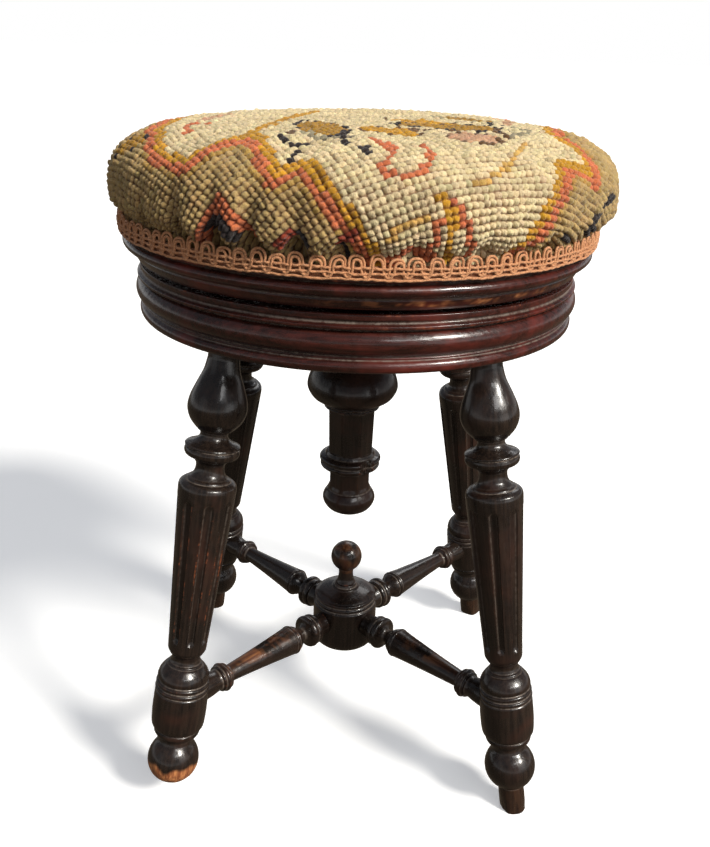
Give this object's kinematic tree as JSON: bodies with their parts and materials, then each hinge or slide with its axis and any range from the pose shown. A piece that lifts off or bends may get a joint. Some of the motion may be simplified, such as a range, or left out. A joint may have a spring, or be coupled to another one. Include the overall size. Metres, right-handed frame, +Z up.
{
  "type": "revolving piano stool",
  "caption": "Round upholstered piano stool: the seat turns on an iron screw to change its height, over a turned frame with fluted splayed legs and crossed rails.",
  "frame": {"origin": "on the floor under the axis of the seat screw", "axes": "+Z up along the seat screw, -Y towards the front of the stool, the legs on the four diagonals"},
  "size_m": [0.355, 0.357, 0.4969],
  "materials": {
    "stained_wood": "dark stain under worn french polish",
    "plain_wood": "unfinished",
    "cast_iron": "as cast, oiled",
    "screw_steel": "oiled iron",
    "needlepoint": "wool cross stitch",
    "horsehair": "loose hair",
    "gimp": "woven cotton braid"
  },
  "bodies": {
    "frame": {"frame_ring": "stained_wood", "frame_board": "plain_wood", "housing_collar": "stained_wood", "screw_housing": "stained_wood", "nut_plate": "cast_iron", "nut_plate_screw_front": "screw_steel", "nut_plate_screw_left": "screw_steel", "nut_plate_screw_right": "screw_steel", "front_left_leg": "stained_wood", "front_left_stretcher": "stained_wood", "front_right_leg": "stained_wood", "front_right_stretcher": "stained_wood", "back_left_leg": "stained_wood", "back_left_stretcher": "stained_wood", "back_right_leg": "stained_wood", "back_right_stretcher": "stained_wood", "stretcher_hub": "stained_wood", "hub_finial": "stained_wood"},
    "washer": {"stop_washer": "screw_steel"},
    "seat": {"needlepoint_cover": "needlepoint", "stuffing_pad": "horsehair", "gimp_braid": "gimp", "seat_rim": "stained_wood", "seat_board": "plain_wood", "seat_plate": "cast_iron", "seat_plate_screw_front": "screw_steel", "seat_plate_screw_right": "screw_steel", "seat_plate_screw_back": "screw_steel", "seat_plate_screw_left": "screw_steel", "seat_screw": "screw_steel", "screw_end_nut": "screw_steel"}
  },
  "joints": [
    {"name": "seat_lift", "type": "slide", "parent": "frame", "child": "washer", "axis": [0, 0, 1], "range_m": [0, 0.108]},
    {"name": "seat_turn", "type": "hinge", "parent": "washer", "child": "seat", "pos_m": [0, 0, 0.35], "axis": [0, 0, 1], "range_deg": [0, 3240]}
  ],
  "couplings": [
    {"joint": "seat_lift", "follows": "seat_turn", "m_per_rad": 0.0019099}
  ]
}
